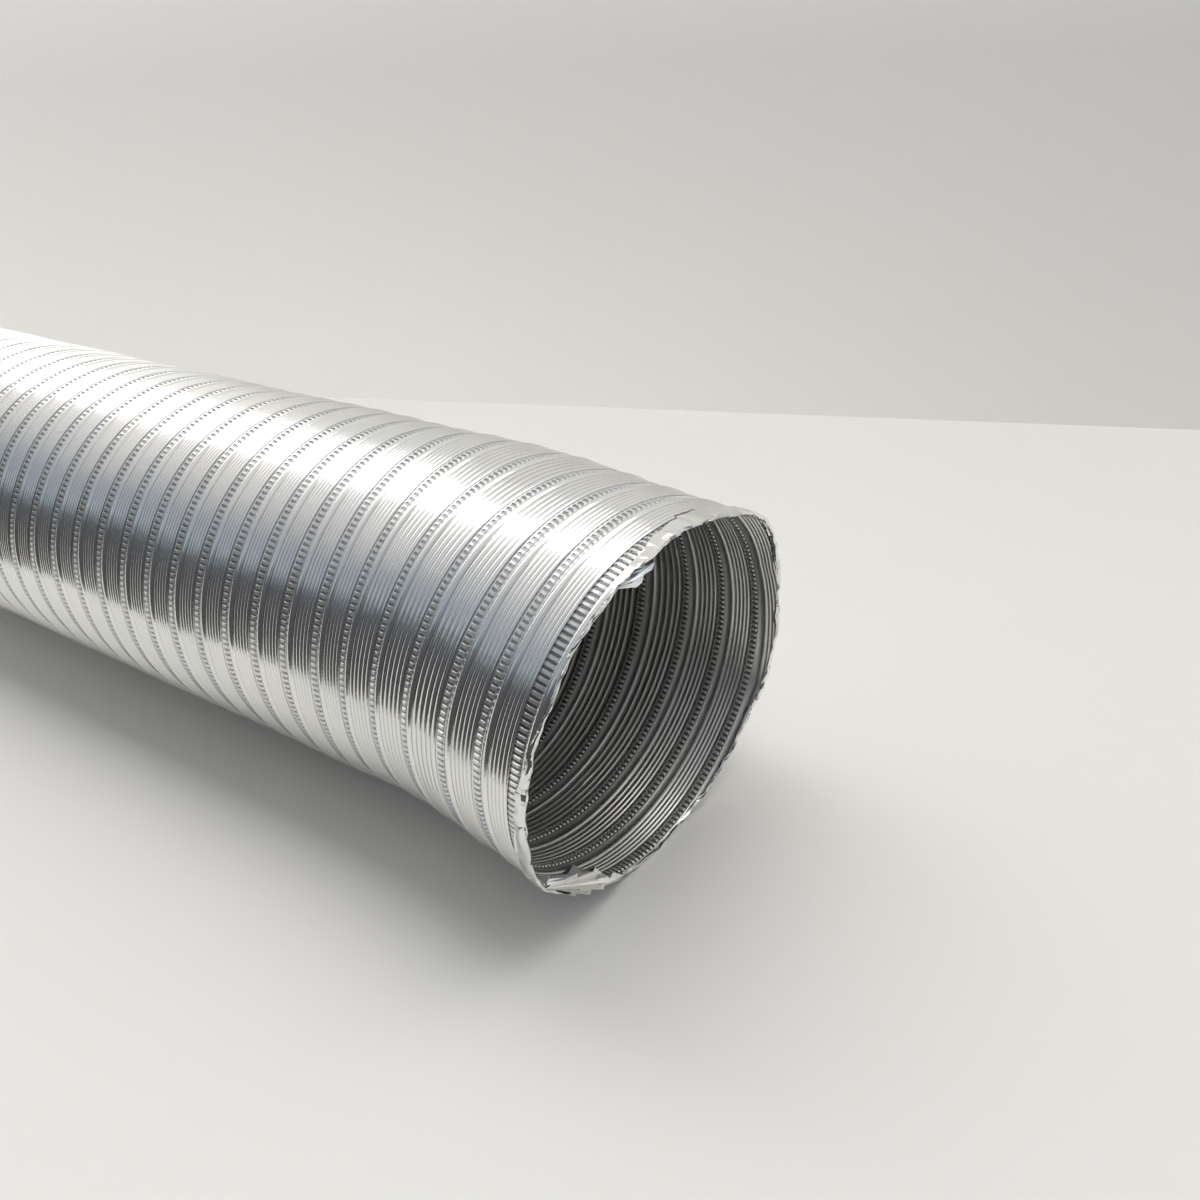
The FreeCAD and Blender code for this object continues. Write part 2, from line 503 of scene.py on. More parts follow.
def wall_faces(flat, vertex_of):
    """Faces of a grid by grid point: those with four corners, and those with three.

    A face that was pulled onto a cut has two corners on one vertex and becomes a triangle,
    or it has no area left and is dropped.
    """
    corners = [flat[:-1, :-1], flat[:-1, 1:], flat[1:, 1:], flat[1:, :-1]]
    corners = np.stack(corners, -1).reshape(-1, 4)
    ids = vertex_of[corners]
    repeated = ids == np.roll(ids, -1, axis=1)
    thin = repeated.sum(axis=1) == 1
    whole = repeated.sum(axis=1) == 0
    return corners[whole], corners[thin][~repeated[thin]].reshape(-1, 3)


def add_pads(gathered, corners, maps, first_vertex, inside):
    """Six faces for each pad, turned round where a pad's corners run the other way round."""
    first_corners = (np.arange(len(maps)) * 8)[:, None, None]
    ids = (first_corners + PAD_FACES[None, :, :]).reshape(-1, 4)
    if np.linalg.det(corners[0, [1, 3, 4]] - corners[0, 0]) < 0:
        ids = ids[:, ::-1]
    normals = flat_normals(corners.reshape(-1, 3), ids)
    corner_maps = np.repeat(maps, 4 * len(PAD_FACES), axis=0)
    gathered.add(ids + first_vertex, normals, corner_maps, inside)


print("a pad has", len(PAD_FACES), "faces")

# %% [markdown]
# ## Both walls, joined at the cuts
#
# The inner wall's vertices are counted on after the outer wall's, and its faces run the
# other way round, so that they face the air inside.


# %% The closed mesh
def closed_foil(name, strip_grid, angle_grid, owner, pad_sets):
    """Both walls, the two strips that join them, and the pads, as one mesh object."""
    flat = np.arange(owner.size).reshape(owner.shape)
    used, vertex_of = np.unique(owner.ravel(), return_inverse=True)
    count = len(used)
    sides = (False, True)
    points = [skin_point(strip_grid, angle_grid, side).reshape(-1, 3)[used] for side in sides]
    normals = [skin_normal(strip_grid, angle_grid, side).reshape(-1, 3) for side in sides]
    maps = np.stack([angle_grid.ravel() / (2 * np.pi), strip_grid.ravel()], -1)
    gathered = FoilFaces()
    for grid_faces in wall_faces(flat, vertex_of):
        for side in sides:
            turned = grid_faces[:, ::-1] if side else grid_faces
            ids = vertex_of[turned] + count * side
            gathered.add(ids, normals[side][turned], maps[turned], side)
    both_walls = np.concatenate(points)
    for edge, order in ((0, -1), (-1, 1)):
        here, there = flat[edge, :-1], flat[edge, 1:]
        loop = np.stack([here, there, there, here], -1)[:, ::order]
        ring = vertex_of[loop] + np.array([0, 0, count, count])[::order]
        gathered.add(ring, flat_normals(both_walls, ring), maps[loop], False)
    total = 2 * count
    for side, (pad_corners, pad_maps) in zip(sides, pad_sets):
        add_pads(gathered, pad_corners, pad_maps, total, side)
        points.append(pad_corners.reshape(-1, 3))
        total += len(points[-1])
    return link_object(name, gathered.mesh(name, np.concatenate(points)))


# %% [markdown]
# ## Eight groups of turns
#
# The duct moves where its turns bend or pull apart.  The groups are the same as the part's
# nodes, and each one hides its node.  The mouth cuff and the far cuff are stiff, and each is
# attached to the body at its end.  The groups between them are attached to no body: they
# stay where they are made, and the turn of the middle line between their two ends is worked
# out but not used.

# %% Build the groups
GROUPS = [
    ("mouth_cuff", 0, 3, "mouth_end", None),
    ("bend_turns_1", 3, 6, "section_1", "mouth_end"),
    ("stretch_turns_1", 6, 11, "section_2", "section_1"),
    ("bend_turns_2", 11, 14, "section_3", "section_2"),
    ("stretch_turns_2", 14, 19, "section_4", "section_3"),
    ("bend_turns_3", 19, 22, "section_5", "section_4"),
    ("stretch_turns_3", 22, 27, "far_end", "section_5"),
    ("far_cuff", 27, 30, "far_end", None),
]
foil_pieces = []
for node, first_turn, last_turn, body, mouthward in GROUPS:
    near = mouth_cut if first_turn == 0 else square_cut(first_turn)
    far = far_cut if last_turn == TURN_COUNT else square_cut(last_turn)
    cuts = (first_turn, last_turn, near, far)
    pads = [knurl_pads(*cuts, inside) for inside in (False, True)]
    piece = closed_foil(f"{node}_foil", *foil_grid(*cuts), pads)
    if mouthward is None:
        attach(piece, body)
    else:
        ends = [middle_line(np.array(float(seam_place(t)))) for t in (last_turn, first_turn)]
        lean = float(ends[1][2] - ends[0][2])
        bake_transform(piece)
    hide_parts(node)
    foil_pieces.append(piece)
    print(node, len(piece.data.polygons), "faces")

# %% [markdown]
# ## The crumpled edge
#
# Cut foil has burrs, so the edge of the mouth was turned over by hand.  That leaves a
# crumpled hem of uneven width.  Straight lines between unevenly spaced random points give
# its width and its dents, because creased foil has flat faces and sharp folds.  Flat shading
# keeps them.  The hem has a strip map too, which puts it between two seams, so that the
# foil's material draws no teeth on it.


# %% Helpers for crumpled foil
def ragged(seed, knots, low, high):
    """Random heights at random angles, joined by straight lines all the way round."""
    source = np.random.default_rng(seed)
    where = np.sort(source.uniform(-np.pi, np.pi, knots))
    heights = source.uniform(low, high, knots)
    return lambda angle: np.interp(angle, where, heights, period=2 * np.pi)


def flat_shape(name, points, faces):
    """A mesh object with flat faces and a plain strip map, that goes with the mouth."""
    mesh = bpy.data.meshes.new(name)
    mesh.from_pydata(np.asarray(points).tolist(), [], faces)
    layer = mesh.uv_layers.new(name="strip")
    layer.data.foreach_set("uv", np.tile([0.0, 0.5], len(mesh.loops)).astype(np.float32))
    shape = link_object(name, mesh)
    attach(shape, "mouth_end")
    return shape


print("straight lines of", len(ragged(1, 90, 0.7, 1.15)(column_angles)), "sample points")

# %% [markdown]
# ## The hem
#
# It is a closed ring.  Its section starts on the outer wall, runs along it to the edge,
# round the edge, back along the inside and home again.  Each corner of the section is
# given as a share of the hem's width, outside or inside, and a height over the wall.  On
# top the free edge has sprung up, which leaves a dark slit, so the faces there take the map
# of a seam, and the material paints them dark as the slit's painted shade.

# %% Width and section of the hem
HEM_RADIUS = BEAD_RADIUS - 0.6 * MM
HEM_COLUMNS = 330
HEM_DENT = 0.38 * MM          # how far a dent goes in or out
HEM_SLIDE = 0.35 * MM         # how far a corner of the section slides along the tube
SLIT_LIFT = 0.9               # how far the sprung edge stands up, in millimetres
SLIT_ANGLE = 3.0              # where its middle is, in degrees round the mouth
SLIT_SPREAD = 9.0             # how far it goes to each side, in degrees
# Share of the outer width, share of the inner width, height over the wall in millimetres
HEM_SECTION = [
    (1.00, 0.0, 0.60), (0.88, 0.0, 0.70), (0.25, 0.0, 0.85), (-0.15, 0.0, 0.55),
    (-0.22, 0.0, -0.05), (-0.15, 0.0, -0.70), (0.0, 0.3, -0.95), (0.0, 0.65, -0.95),
    (0.0, 1.00, -0.55), (0.0, 0.5, -0.15), (0.5, 0.0, -0.15),
]
# Angle in degrees round the mouth, and the hem's width there in millimetres
HEM_WIDTH = [
    (-165, 2.6), (-122, 3.6), (-108, 5.0), (-80, 4.6), (-68, 1.6), (-58, 0.4), (-26, 0.4),
    (-18, 3.0), (-8, 5.4), (14, 6.0), (36, 5.4), (48, 2.6), (80, 1.4), (125, 1.6), (150, 3.2),
]
hem_source = np.random.default_rng(5)
hem_angles = np.linspace(-np.pi, np.pi, HEM_COLUMNS, endpoint=False)
hem_angles += hem_source.uniform(-0.3, 0.3, HEM_COLUMNS) * 2 * np.pi / HEM_COLUMNS
hem_degrees = np.degrees(hem_angles)
outer_width = between_pairs(HEM_WIDTH, hem_degrees) * MM * ragged(1, 90, 0.7, 1.15)(hem_angles)
inner_width = ragged(2, 80, 0.6 * MM, 2.4 * MM)(hem_angles)
slit = np.exp(-(((hem_degrees - SLIT_ANGLE) / SLIT_SPREAD) ** 4))
narrowest, widest = outer_width.min() / MM, outer_width.max() / MM
print(f"hem {narrowest:.1f} to {widest:.1f} mm wide")

# %% [markdown]
# ## The hem's surface
#
# Each corner of the section becomes a ring of points round the mouth, with dents and slides
# of its own.  Faces join each ring to the next one, and the last ring to the first.

# %% Rings and faces of the hem
hem_rings = []
for number, (outer_share, inner_share, height) in enumerate(HEM_SECTION):
    height = height + slit * outer_share * SLIT_LIFT
    dent = ragged(20 + number, 120, -HEM_DENT, HEM_DENT)(hem_angles)
    slide = ragged(50 + number, 110, -HEM_SLIDE, HEM_SLIDE)(hem_angles)
    place = mouth_cut(hem_angles) + outer_width * outer_share + inner_width * inner_share + slide
    radius = HEM_RADIUS + height * MM + dent + rim_push(place, hem_angles)
    hem_rings.append(tube_point(place, hem_angles, radius))
hem_faces = []
for ring in range(len(HEM_SECTION)):
    this_ring = ring * HEM_COLUMNS
    next_ring = (ring + 1) % len(HEM_SECTION) * HEM_COLUMNS
    for column in range(HEM_COLUMNS):
        following = (column + 1) % HEM_COLUMNS
        here, there = this_ring + column, next_ring + column
        hem_faces.append((here, there, next_ring + following, this_ring + following))
hem = flat_shape("crumpled_hem", np.concatenate(hem_rings), hem_faces)
# The faces in the slit get a seam's map, so they are painted dark as painted shade
slit_shade_columns = np.flatnonzero(slit > 0.5).tolist()
for column in slit_shade_columns:
    for corner in hem.data.polygons[column].loop_indices:
        hem.data.uv_layers["strip"].data[corner].uv = (0.0, 0.0)
print("hem", len(hem_faces), "faces,", len(slit_shade_columns), "of them in the slit")

# %% [markdown]
# ## Torn flaps
#
# In three places the hem didn't hold.  Low at the corner nearest the camera a bunch of foil
# is folded inwards, and its folds spread like a fan from the corner.  A second one lies
# along the bottom, and near the top a thin flap has sprung up.
#
# Each flap is a fan of folds: its ridges stand out by turns, and a second layer just behind
# closes it.  All its sizes are in millimetres, counted from the mouth's centre.

# %% How a flap is made
FLAP_THICKNESS = 0.35
FLAP_DENT = 0.25
SPOKE_STEPS = 4
OUTWARD = np.array([math.cos(mouth_heading), -math.sin(mouth_heading), 0.0])
SIDEWAYS = np.array([math.sin(mouth_heading), math.cos(mouth_heading), 0.0])
UPWARD = np.array([0.0, 0.0, 1.0])
MOUTH_CENTRE = np.array([mouth_x, mouth_y, 0.0])


def at_mouth(out, side, up):
    """A point by its distances in millimetres out of, across and above the mouth's centre."""
    return MOUTH_CENTRE + (OUTWARD * out + SIDEWAYS * side + UPWARD * up) * MM


def torn_flap(name, apex, tips, seed, fold=1.5):
    """Fan from an apex to its tips: every second line of each spoke is raised by the fold."""
    source = np.random.default_rng(seed)
    start = at_mouth(*apex)
    spoke_count = len(tips) * 2 - 1
    front = [start]
    for number in range(spoke_count):
        low, high = tips[number // 2], tips[(number + 1) // 2]
        tip = at_mouth(*[(a + b) / 2 for a, b in zip(low, high)])
        lift = fold * (1 if number % 2 else -1)
        for step in range(1, SPOKE_STEPS + 1):
            share = step / SPOKE_STEPS
            out = lift * share + source.uniform(-FLAP_DENT, FLAP_DENT)
            front.append(start + (tip - start) * share + OUTWARD * out * MM)
    back = [point - OUTWARD * FLAP_THICKNESS * MM for point in front]
    count = len(front)
    sheet = []
    for number in range(spoke_count - 1):
        a = 1 + number * SPOKE_STEPS
        b = a + SPOKE_STEPS
        sheet.append((0, b, a))
        sheet += [(a + k, b + k, b + k + 1, a + k + 1) for k in range(SPOKE_STEPS - 1)]
    first_spoke = list(range(SPOKE_STEPS + 1))
    spoke_ends = [(number + 1) * SPOKE_STEPS for number in range(1, spoke_count)]
    last_spoke = list(range(spoke_ends[-1] - 1, spoke_ends[-1] - SPOKE_STEPS, -1))
    border = first_spoke + spoke_ends + last_spoke
    pairs = zip([border[-1]] + border[:-1], border)
    rim = [(before, after, after + count, before + count) for before, after in pairs]
    rear = [tuple(v + count for v in face[::-1]) for face in sheet]
    return flat_shape(name, front + back, sheet + rear + rim)


print("outward", np.round(OUTWARD, 3))

# %% [markdown]
# ## Three flaps
#
# Each one has the point that its folds start from and the points at which they end, which
# were chosen from the photo.

# %% Flaps
corner_tips = [
    (0.6, -66.0, -32.5), (1.6, -55.2, -35.8), (0.2, -51.0, -42.5), (1.4, -44.3, -47.1),
    (-0.4, -41.0, -53.5), (0.2, -37.2, -58.4), (-1.6, -36.0, -64.5), (-1.4, -44.2, -62.0),
    (-1.2, -51.6, -55.8), (-0.8, -60.5, -48.0),
]
bottom_tips = [
    (-2.2, -39.0, -58.0), (-2.4, -30.5, -65.0), (-3.2, -24.0, -70.6), (-2.8, -33.0, -68.0),
]
sprung_tips = [(6.4, -24.0, 74.6), (7.4, -15.5, 73.6), (6.6, -20.0, 70.4), (7.0, -24.5, 68.4)]
flaps = [
    torn_flap("folded_corner", (-0.6, -68.6, -36.8), corner_tips, seed=3),
    torn_flap("folded_bottom", (-2.6, -44.5, -61.5), bottom_tips, seed=4),
    torn_flap("sprung_flap", (5.4, -31.0, 70.8), sprung_tips, seed=6, fold=0.5),
]
foil_pieces += [hem, *flaps]
for flap in flaps:
    print(flap.name, len(flap.data.polygons), "faces")

# %% [markdown]
# ## A short way to write materials
#
# A material is a graph of nodes.  The class below stands for one output of a node, so that
# sums and products of such outputs can be written as plain arithmetic.


# %% Sockets that understand arithmetic
class Sock:
    """One value in a node graph."""

    def __init__(self, graph, socket):
        self.graph = graph
        self.socket = socket

    def math(self, operation, *others):
        return self.graph.node("ShaderNodeMath", *(self, *others), operation=operation)

    def clamped(self):
        """The value, but never below 0 or above 1."""
        return self.math("MAXIMUM", 0.0).math("MINIMUM", 1.0)

    def to_whole(self):
        """The distance to the nearest whole number."""
        return ((self + 0.5).math("FRACT") - 0.5).math("ABSOLUTE")

    def __add__(self, other):
        return self.math("ADD", other)

    def __sub__(self, other):
        return self.math("SUBTRACT", other)

    def __mul__(self, other):
        return self.math("MULTIPLY", other)

    def __truediv__(self, other):
        return self.math("DIVIDE", other)

    def __rsub__(self, other):
        return self.graph.node("ShaderNodeMath", other, self, operation="SUBTRACT")

    __radd__ = __add__
    __rmul__ = __mul__


print("a socket can", [name for name in vars(Sock) if not name.startswith("_")])

# %% [markdown]
# ## One method makes every node
#
# It is given a node's kind, its inputs and its settings.  An input that is a socket is
# linked, and any other value is set on the input itself.


# %% A material's graph
class Graph:
    """A material's node graph, with one method that makes a node and links its inputs."""

    def __init__(self, tree):
        self.tree = tree

    def node(self, kind, *inputs, output=0, named=None, **settings):
        made = self.tree.nodes.new(kind)
        for key, value in settings.items():
            setattr(made, key, value)
        wanted = list(enumerate(inputs)) + list((named or {}).items())
        for key, value in wanted:
            if isinstance(value, Sock):
                self.tree.links.new(value.socket, made.inputs[key])
            else:
                made.inputs[key].default_value = value
        return Sock(self, made.outputs[output]) if len(made.outputs) else None

    def smooth(self, value, begin, end, low=0.0, high=1.0):
        """Goes from low to high in a soft S while the value goes from begin to end."""
        settings = {"interpolation_type": "SMOOTHSTEP"}
        return self.node("ShaderNodeMapRange", value, begin, end, low, high, **settings)

    def mix(self, share, first, second):
        """The first colour where the share is 0 and the second where it is 1."""
        colours = {0: share, 6: first, 7: second}
        return self.node("ShaderNodeMix", output=2, data_type="RGBA", named=colours)

    def noise(self, place, scale, detail, roughness):
        """Cloudy noise, with so many clouds in a metre."""
        looks = {"Scale": scale, "Detail": detail, "Roughness": roughness}
        return self.node("ShaderNodeTexNoise", place, named=looks)


def new_graph(name):
    """An empty material and its graph."""
    material = bpy.data.materials.new(name)
    material.use_nodes = True
    material.node_tree.nodes.clear()
    return material, Graph(material.node_tree)


print("a graph can make", [name for name in vars(Graph) if not name.startswith("_")])

# %% [markdown]
# ## Marks and creases
#
# The strip map says where the marks are.  Its first number goes once round the tube, so a
# cosine of it that swings as often as there are teeth is high between two pads.  Its second
# number counts seams, so its distance to a whole number says how near a seam is.  Between
# the fine ribs the colour is darkened as painted shade in the creases, which are too narrow
# for the mesh to show them in the far turns.

# %% Where the marks and the creases lie
foil, g = new_graph("aluminium_foil")
strip_map = g.node("ShaderNodeUVMap", uv_map="strip")
winding = g.node("ShaderNodeSeparateXYZ", strip_map, output=0)
strip = g.node("ShaderNodeSeparateXYZ", strip_map, output=1)
inside = g.node("ShaderNodeAttribute", attribute_name="inside", output="Fac")

to_seam = strip.to_whole()
opened_seam = strip.math("LESS_THAN", 0.45)
tooth_end = opened_seam * 0.05 + 0.10
tooth_wave = (winding * (2 * math.pi * TEETH_PER_TURN)).math("COSINE")
tooth = g.smooth(tooth_wave, -0.15, 0.45) * g.smooth(to_seam, tooth_end, tooth_end - 0.03)
knurled = g.smooth(to_seam, tooth_end + 0.01, tooth_end - 0.02)

share = 1.0 - strip.math("FRACT")
rib_place = (share - BEAD_END_SHARE) * (RIBS_PER_TURN / (1.0 - BAND_SHARE - BEAD_END_SHARE))
past_bead = rib_place.math("GREATER_THAN", -0.2)
before_band = rib_place.math("LESS_THAN", RIBS_PER_TURN + 0.2)
# Painted shade in the creases between the fine ribs
crease_shade = g.smooth(rib_place.to_whole(), 0.04, 0.13, 0.45, 0.0) * past_bead * before_band
print("marks and creases", len(foil.node_tree.nodes), "nodes")

# %% [markdown]
# ## Aluminium foil
#
# Bare aluminium is a metal, so it has no colour of its own beyond its reflection.  What
# makes it foil is roughness that changes from place to place, a fine grain, small dents,
# and two faint tints.  The knurled band was rubbed dull by the wheel, and the inside is
# rougher than the outside and painted darker as painted shade.  Between the teeth the colour
# is painted dark as painted shade in the gaps, most strongly inside and in the seam that has
# come open, and the creases between the fine ribs get the same painted shade.

# %% The foil material
WARM_TINT = (0.90, 0.888, 0.855, 1.0)
COOL_TINT = (0.85, 0.858, 0.85, 1.0)
# The inner wall's tint is darker, as painted shade
INSIDE_SHADE_TINT = (0.76, 0.755, 0.73, 1.0)
# Colour of the painted shade in the gaps between the pads and in the creases
PAINTED_SHADE = (0.12, 0.12, 0.12, 1.0)

here = g.node("ShaderNodeTexCoord", output="Object")
dents = g.noise(here, 90.0, 3.0, 0.55)
grain = g.noise(here, 900.0, 2.0, 0.6)
patches = g.noise(here, 22.0, 4.0, 0.6)

height = dents * 0.22 + grain * 0.012 - tooth * 0.6
bump = g.node("ShaderNodeBump", named={"Height": height, "Distance": 0.6 * MM, "Strength": 1.0})
polish = g.node("ShaderNodeMapRange", patches, 0.3, 0.7, 0.10, 0.22)
roughness = polish + knurled * 0.16 + inside * 0.2

warmth = g.node("ShaderNodeMapRange", patches, 0.35, 0.65, 0.0, 1.0)
tint_with_inside_shade = g.mix(inside, g.mix(warmth, WARM_TINT, COOL_TINT), INSIDE_SHADE_TINT)
# Painted shade in the gaps between the pads, stronger inside and in the opened seam
gap_shade = tooth * (inside * 0.25 + opened_seam * 0.25 + 0.6)
colour = g.mix(gap_shade.math("MAXIMUM", crease_shade), tint_with_inside_shade, PAINTED_SHADE)
finish = {"Base Color": colour, "Metallic": 1.0, "Roughness": roughness, "Normal": bump}
g.node("ShaderNodeOutputMaterial", g.node("ShaderNodeBsdfPrincipled", named=finish))
for piece in foil_pieces:
    piece.data.materials.append(foil)
print("foil", len(foil.node_tree.nodes), "nodes on", len(foil_pieces), "pieces")

# %% [markdown]
# ## The camera's place
#
# The photo's camera was found by fitting a tube to the picture's outline, its mouth and its
# seams.  The three directions are the camera's own axes, and the focal length is given in
# pixels of a picture 1200 pixels wide.

# %% Camera
CAMERA_PLACE = Vector((0.63263, -0.25678, 0.22746))
CAMERA_FORWARD = Vector((-0.4531, 0.70442, -0.54635))
CAMERA_RIGHT = Vector((0.85491, 0.51704, -0.04236))
CAMERA_UP = Vector((-0.25264, 0.48628, 0.83649))
FOCAL_PIXELS = 947.3
PHOTO_HALF = 600
SENSOR_WIDTH = 36.0

lens = bpy.data.cameras.new("photo_camera")
lens.sensor_width = SENSOR_WIDTH
lens.lens = FOCAL_PIXELS * SENSOR_WIDTH / (2 * PHOTO_HALF)
camera = link_object("photo_camera", lens)
camera.matrix_world = Matrix((
    (CAMERA_RIGHT.x, CAMERA_UP.x, -CAMERA_FORWARD.x, CAMERA_PLACE.x),
    (CAMERA_RIGHT.y, CAMERA_UP.y, -CAMERA_FORWARD.y, CAMERA_PLACE.y),
    (CAMERA_RIGHT.z, CAMERA_UP.z, -CAMERA_FORWARD.z, CAMERA_PLACE.z),
    (0.0, 0.0, 0.0, 1.0),
))
bpy.context.scene.camera = camera
bpy.context.scene.view_settings.view_transform = "Standard"
print(f"lens {lens.lens:.3f} mm")

# %% [markdown]
# ## Where the table ends
#
# The photo shows a white table whose far edge crosses behind the duct, and a pale grey wall.
# A ray through a pixel of the picture meets the table's plane at one point, and two such
# points give the edge.  The wall stands on it.

# %% The table's edge
FRONT_MARGIN = 0.06           # how far the table runs on in front of the picture
# Points of the picture: two on the table's far edge, and the picture's lower corners
LEFT_EDGE_PIXEL = (270, 395)
RIGHT_EDGE_PIXEL = (1200, 430)
LOWER_PIXELS = [(0, 1200), (1200, 1200)]


def on_table(pixel_x, pixel_y):
    """The point of the table plane that a pixel of the 1200-pixel picture shows."""
    ray = CAMERA_FORWARD + CAMERA_RIGHT * ((pixel_x - PHOTO_HALF) / FOCAL_PIXELS)
    ray = ray - CAMERA_UP * ((pixel_y - PHOTO_HALF) / FOCAL_PIXELS)
    return CAMERA_PLACE + ray * ((RESTING_PLANE - CAMERA_PLACE.z) / ray.z)


edge_left = on_table(*LEFT_EDGE_PIXEL)
edge_right = on_table(*RIGHT_EDGE_PIXEL)
along_edge = (edge_right - edge_left).normalized()
toward_camera = Vector((along_edge.y, -along_edge.x, 0.0))
front_corners = [on_table(*pixel) for pixel in LOWER_PIXELS]
table_depth = max((corner - edge_left).dot(toward_camera) for corner in front_corners)
table_depth += FRONT_MARGIN
print("table edge", [round(v, 3) for v in edge_left], [round(v, 3) for v in edge_right])
print("table depth", round(table_depth, 3), "m")

# %% [markdown]
# ## Table and wall
#
# Both are matt.  In the photo they are brighter in some places than in others, and the duct
# mirrors that.  So each has a faint glow that runs from little to more: the table towards
# the wall, and the wall towards the left and up.  Far to the left, out of the picture, the
# wall's glow fades again, because the duct's side mirrors a darker place there.
#
# Both are clear from behind, so that they don't hide the duct from any other side.

# %% Paint with a glow
STAGE_ROUGHNESS = 0.6


def glowing_paint(name, colour, least, most, share):
    """Matt paint whose glow runs from least to most with a share, and clear from behind."""
    material, graph = new_graph(name)
    spot = graph.node("ShaderNodeTexCoord", output="Object")
    x, y, z = (graph.node("ShaderNodeSeparateXYZ", spot, output=axis) for axis in range(3))
    faint = (*(channel * least for channel in colour), 1.0)
    bright = (*(channel * most for channel in colour), 1.0)
    glow = graph.mix(share(x, y, z).clamped(), faint, bright)
    paint = graph.node("ShaderNodeBsdfPrincipled", named={
        "Base Color": (*colour, 1.0), "Roughness": STAGE_ROUGHNESS,
        "Emission Color": glow, "Emission Strength": 1.0,
    })
    behind = graph.node("ShaderNodeNewGeometry", output="Backfacing")
    clear = graph.node("ShaderNodeBsdfTransparent")
    graph.node("ShaderNodeOutputMaterial", graph.node("ShaderNodeMixShader", behind, paint, clear))
    return material


print("paint with roughness", STAGE_ROUGHNESS)

# %% [markdown]
# ## Where they glow
#
# A share of 0 is the least glow and 1 is the most.  The distances are in metres, from where
# a part of the glow starts to where it is full.

# %% Shares of the glow
TABLE_GLOW_DEPTH = 0.45
LEFT_FROM, LEFT_OVER = 0.6, 0.9
UP_FROM, UP_OVER = 0.18, 0.20
DARK_LEFT_OF, DARK_OVER = -1.25, 0.3


def nearer_to_wall(x, y, z):
    """All of it at the wall, and less with the distance in front of the wall."""
    in_front = x * toward_camera.x + y * toward_camera.y - edge_left.dot(toward_camera)
    return 1.0 - in_front / TABLE_GLOW_DEPTH


def further_left_and_up(x, y, z):
    """0.4 comes on the way to the left and 0.6 on the way up, and all of it fades far left."""
    left = ((LEFT_FROM - x) / LEFT_OVER).clamped()
    up = ((z - UP_FROM) / UP_OVER).clamped()
    fade = ((x - DARK_LEFT_OF) / DARK_OVER).clamped()
    return (left * 0.4 + up * 0.6) * fade


white = glowing_paint("white_table", (0.79, 0.775, 0.735), 0.0, 0.19, nearer_to_wall)
grey = glowing_paint("pale_wall", (0.84, 0.82, 0.785), 0.18, 0.64, further_left_and_up)
print("paints", white.name, "and", grey.name)

# %% [markdown]
# ## The table and the wall themselves
#
# Each is one flat face.  Both run on well past the picture, because the metal mirrors them.

# %% Table and wall
RUN_ON = 3.0                  # how far they run on past the edge's two points
WALL_HEIGHT = 1.1


def flat_card(name, corners, material):
    """A single flat face with any number of corners."""
    mesh = bpy.data.meshes.new(name)
    mesh.from_pydata(corners, [], [tuple(range(len(corners)))])
    mesh.materials.append(material)
    shape = link_object(name, mesh)
    return shape


far_left = edge_left - along_edge * RUN_ON
far_right = edge_right + along_edge * RUN_ON
front = toward_camera * table_depth
wall_top = Vector((0.0, 0.0, WALL_HEIGHT))
flat_card("table", [far_left, far_left + front, far_right + front, far_right], white)
flat_card("wall", [far_left, far_right, far_right + wall_top, far_left + wall_top], grey)
print("table and wall", round((far_right - far_left).length, 2), "m wide")

# %% [markdown]
# ## The dark far end
#
# The real duct runs on to the left of the picture, so no light comes in from behind.  A
# black card just inside the far end does that here, and the camera doesn't see it.

# %% Card in the far end
CARD_GAP = 2.0 * MM           # from the card's rim to the duct's outer radius
CARD_PLACE = 4 * MM           # how far inside the far end it stands
CARD_CORNERS = 48
black, black_graph = new_graph("black_card")
# The card is black so that it blocks light and stands in for the shade inside the rest of the duct
blocker_settings = {"Base Color": (0.01, 0.01, 0.01, 1.0), "Roughness": STAGE_ROUGHNESS}
blocker_surface = black_graph.node("ShaderNodeBsdfPrincipled", named=blocker_settings)
black_graph.node("ShaderNodeOutputMaterial", blocker_surface)
card_radius = BEAD_RADIUS - CARD_GAP
card_angles = np.linspace(0, 2 * np.pi, CARD_CORNERS, endpoint=False)
card_rim = [(CARD_PLACE, card_radius * math.sin(a), card_radius * math.cos(a)) for a in card_angles]
card = flat_card("card_in_far_end", card_rim, black)
card.visible_camera = False
print("card", round(card_radius / MM, 1), "mm in radius")

# %% [markdown]
# ## Lamps
#
# Metal shows its lamps as in a mirror.  A wide lamp on the ceiling gives the long white band
# on top of the duct and the soft shadow on the table.  Its image in the metal would be
# far past white, so it is two lamps: the first lights what is matt and isn't mirrored, and
# the second is mirrored but lights nothing matt.  The second hangs a little lower, because
# of two lamps at exactly the same distance only one is found.
#
# The third is a window at the left, in front of the wall.  The duct's far part mirrors it.

# %% Three lamps
CEILING_PLACE = Vector((-0.5, 1.16, 1.7))
CEILING_SIZE = (4.0, 2.5)
GLOSS_DROP = Vector((0.0, 0.0, 0.02))
DOWNWARD = Vector((0.0, 0.0, -1.0))
WINDOW_SIZE = (1.05, 0.95)
# From the left end of the table's edge, in metres
WINDOW_LEFT = 0.48
WINDOW_BEFORE_WALL = 0.02
WINDOW_UP = 0.60


def area_light(name, place, facing, size, watts):
    """A rectangular lamp at a place, that shines in one direction."""
    lamp = bpy.data.lights.new(name, "AREA")
    lamp.shape = "RECTANGLE"
    lamp.size, lamp.size_y = size
    lamp.energy = watts
    shape = link_object(name, lamp)
    shape.location = place
    shape.rotation_mode = "QUATERNION"
    shape.rotation_quaternion = facing.to_track_quat("-Z", "Y")
    return shape


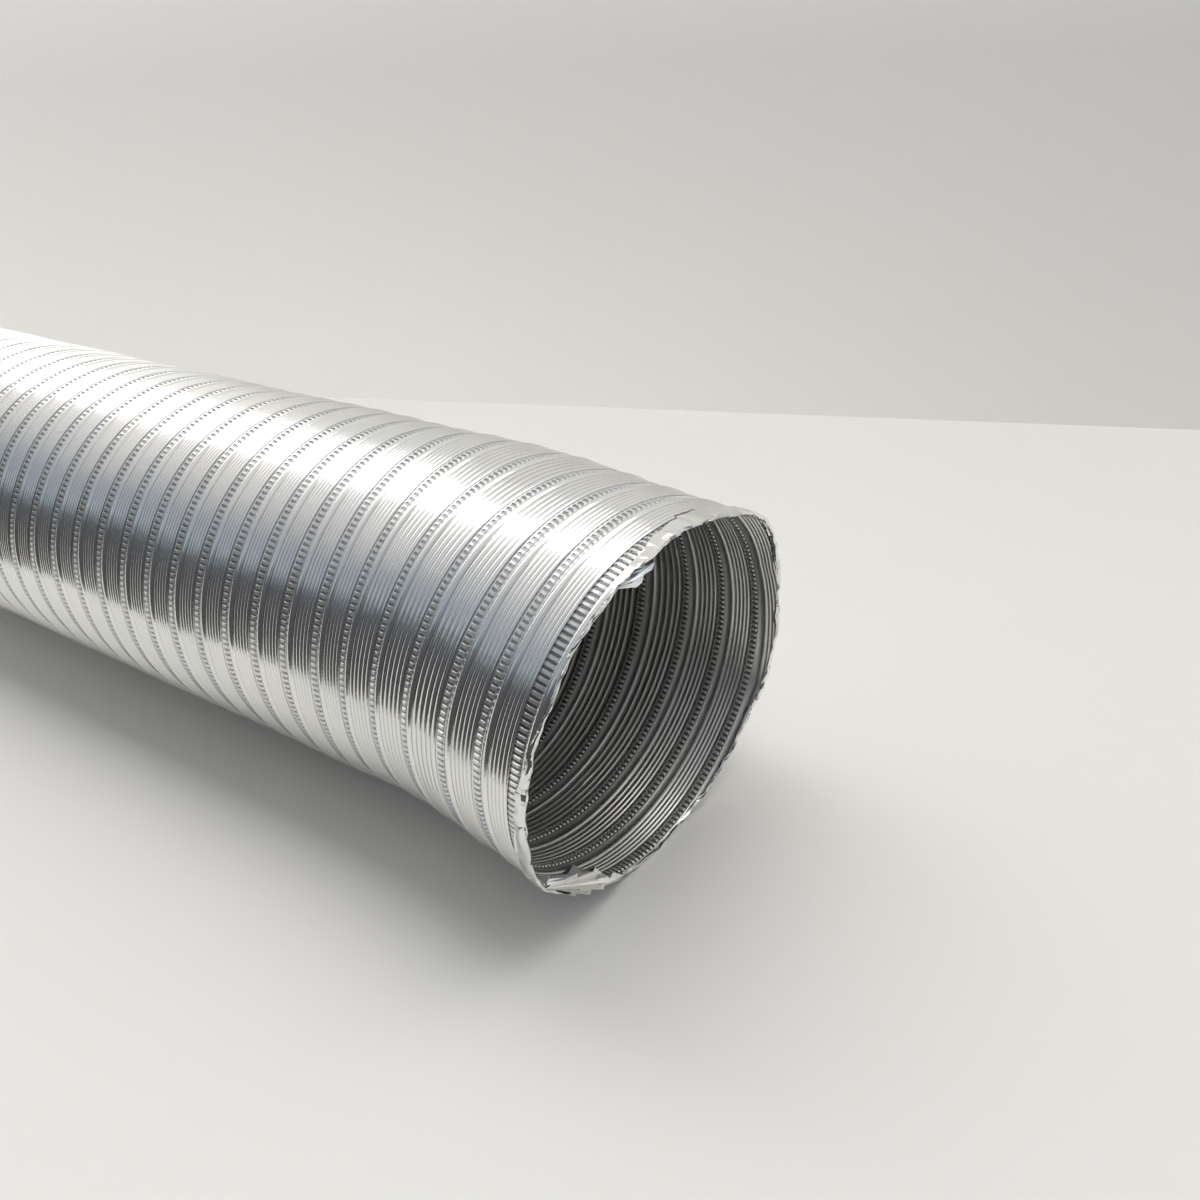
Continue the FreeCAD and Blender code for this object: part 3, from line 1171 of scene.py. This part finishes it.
ceiling = area_light("ceiling_light", CEILING_PLACE, DOWNWARD, CEILING_SIZE, 70.0)
ceiling.visible_glossy = False
mirrored = area_light("ceiling_gloss", CEILING_PLACE - GLOSS_DROP, DOWNWARD, CEILING_SIZE, 35.0)
mirrored.visible_diffuse = False
window_centre = edge_left - along_edge * WINDOW_LEFT + toward_camera * WINDOW_BEFORE_WALL
window_centre = window_centre + Vector((0.0, 0.0, WINDOW_UP))
window =area_light("window_light", window_centre, toward_camera, WINDOW_SIZE, 2.7)
window.visible_camera = False
print("lamps", [light.name for light in bpy.data.lights])

# %% [markdown]
# ## The room
#
# Everything else that the metal mirrors is the room.  Its colour depends on how far up one
# looks: dark near the floor, a cool blue-grey band above, and pale near the ceiling.  The
# duct's side mirrors that as a dark stripe with a cool edge.  The room is brighter on the
# side of the wall than on the side of the camera.

# %% World
# How far up, and the colour there
ROOM = [
    (0.00, (0.048, 0.048, 0.049)),
    (0.20, (0.055, 0.056, 0.060)),
    (0.37, (0.060, 0.064, 0.078)),
    (0.45, (0.185, 0.222, 0.243)),
    (0.51, (0.28, 0.325, 0.34)),
    (0.57, (0.235, 0.245, 0.305)),
    (0.68, (0.24, 0.255, 0.28)),
    (0.82, (0.38, 0.38, 0.38)),
    (0.94, (0.50, 0.49, 0.48)),
]
CAMERA_SIDE_STRENGTH = 1.5
WALL_SIDE_STRENGTH = 2.8

world = bpy.data.worlds.new("room")
bpy.context.scene.world = world
world.use_nodes = True
world.node_tree.nodes.clear()
w = Graph(world.node_tree)
direction = w.node("ShaderNodeTexCoord", output="Generated")
rise = w.node("ShaderNodeSeparateXYZ", direction, output=2)
wallward = w.node("ShaderNodeSeparateXYZ", direction, output=1)
room = w.node("ShaderNodeValToRGB", rise)
stops = room.socket.node.color_ramp.elements
while len(stops) < len(ROOM):
    stops.new(0.5)
for stop, (position, stop_colour) in zip(stops, ROOM):
    stop.position = position
    stop.color = (*stop_colour, 1.0)
strength = w.smooth(wallward, -0.05, 0.15, CAMERA_SIDE_STRENGTH, WALL_SIDE_STRENGTH)
w.node("ShaderNodeOutputWorld", w.node("ShaderNodeBackground", room, strength))
print("room", len(stops), "stops")

# %% [markdown]
# ## Close
